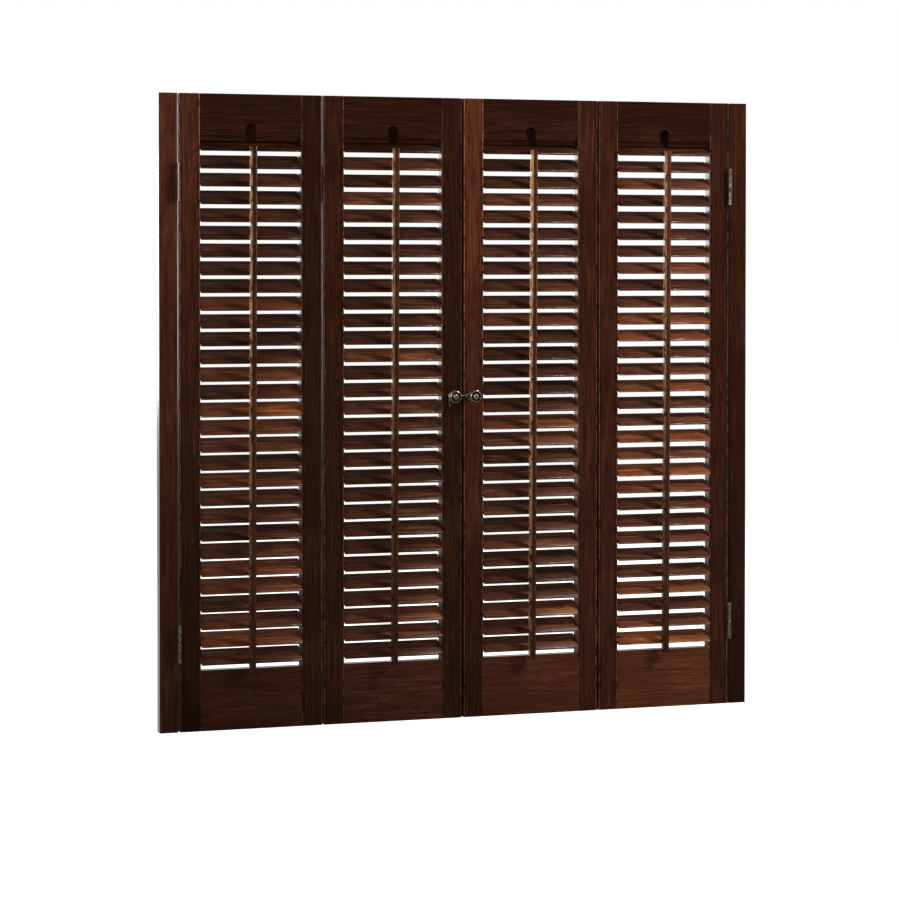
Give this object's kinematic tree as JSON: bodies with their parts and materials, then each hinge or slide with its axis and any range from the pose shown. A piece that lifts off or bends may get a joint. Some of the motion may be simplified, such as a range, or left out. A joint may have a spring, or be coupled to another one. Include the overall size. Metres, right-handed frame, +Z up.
{
  "type": "interior louvered shutter, two bifold pairs on hang strips",
  "caption": "Interior window shutter of stained wood: louvered panels hinged in two folding pairs between side hang strips, with tilt rods and small turned knobs.",
  "frame": {"origin": "middle of the left hang strip's back face", "axes": "+X across the window to the right as seen from the room, +Y out of the back towards the glass, +Z up"},
  "size_m": [0.9146, 0.0407, 0.9144],
  "materials": {
    "stained_wood": "satin",
    "hinge_metal": "worn satin",
    "knob_brass": "satin, darkened"
  },
  "bodies": {
    "hang_strips": {"left_hang_strip": "stained_wood", "left_strip_hinge_leaves": "hinge_metal", "right_hang_strip": "stained_wood", "right_strip_hinge_leaves": "hinge_metal"},
    "panel_1": {"panel_1_left_stile": "stained_wood", "panel_1_right_stile": "stained_wood", "panel_1_top_rail": "stained_wood", "panel_1_bottom_rail": "stained_wood", "panel_1_louvers": "stained_wood", "panel_1_tilt_rod": "stained_wood", "panel_1_outer_hinge_leaves": "hinge_metal", "panel_1_fold_hinge_leaves": "hinge_metal"},
    "panel_2": {"panel_2_left_stile": "stained_wood", "panel_2_right_stile": "stained_wood", "panel_2_top_rail": "stained_wood", "panel_2_bottom_rail": "stained_wood", "panel_2_louvers": "stained_wood", "panel_2_tilt_rod": "stained_wood", "panel_2_fold_hinge_leaves": "hinge_metal", "panel_2_knob": "knob_brass"},
    "panel_3": {"panel_3_left_stile": "stained_wood", "panel_3_right_stile": "stained_wood", "panel_3_top_rail": "stained_wood", "panel_3_bottom_rail": "stained_wood", "panel_3_louvers": "stained_wood", "panel_3_tilt_rod": "stained_wood", "panel_3_fold_hinge_leaves": "hinge_metal", "panel_3_knob": "knob_brass"},
    "panel_4": {"panel_4_left_stile": "stained_wood", "panel_4_right_stile": "stained_wood", "panel_4_top_rail": "stained_wood", "panel_4_bottom_rail": "stained_wood", "panel_4_louvers": "stained_wood", "panel_4_tilt_rod": "stained_wood", "panel_4_outer_hinge_leaves": "hinge_metal", "panel_4_fold_hinge_leaves": "hinge_metal"}
  },
  "joints": [
    {"name": "left_pair_swing", "type": "hinge", "parent": "hang_strips", "child": "panel_1", "pos_m": [0.0147, -0.0209, 0], "axis": [0, 0, -1], "range_deg": [0, 180]},
    {"name": "left_pair_fold", "type": "hinge", "parent": "panel_1", "child": "panel_2", "pos_m": [0.2291, 0.0034, 0], "axis": [0, 0, 1], "range_deg": [0, 165]},
    {"name": "right_pair_swing", "type": "hinge", "parent": "hang_strips", "child": "panel_4", "pos_m": [0.8729, -0.0209, 0], "axis": [0, 0, 1], "range_deg": [0, 180]},
    {"name": "right_pair_fold", "type": "hinge", "parent": "panel_4", "child": "panel_3", "pos_m": [0.6585, 0.0034, 0], "axis": [0, 0, -1], "range_deg": [0, 165]}
  ]
}
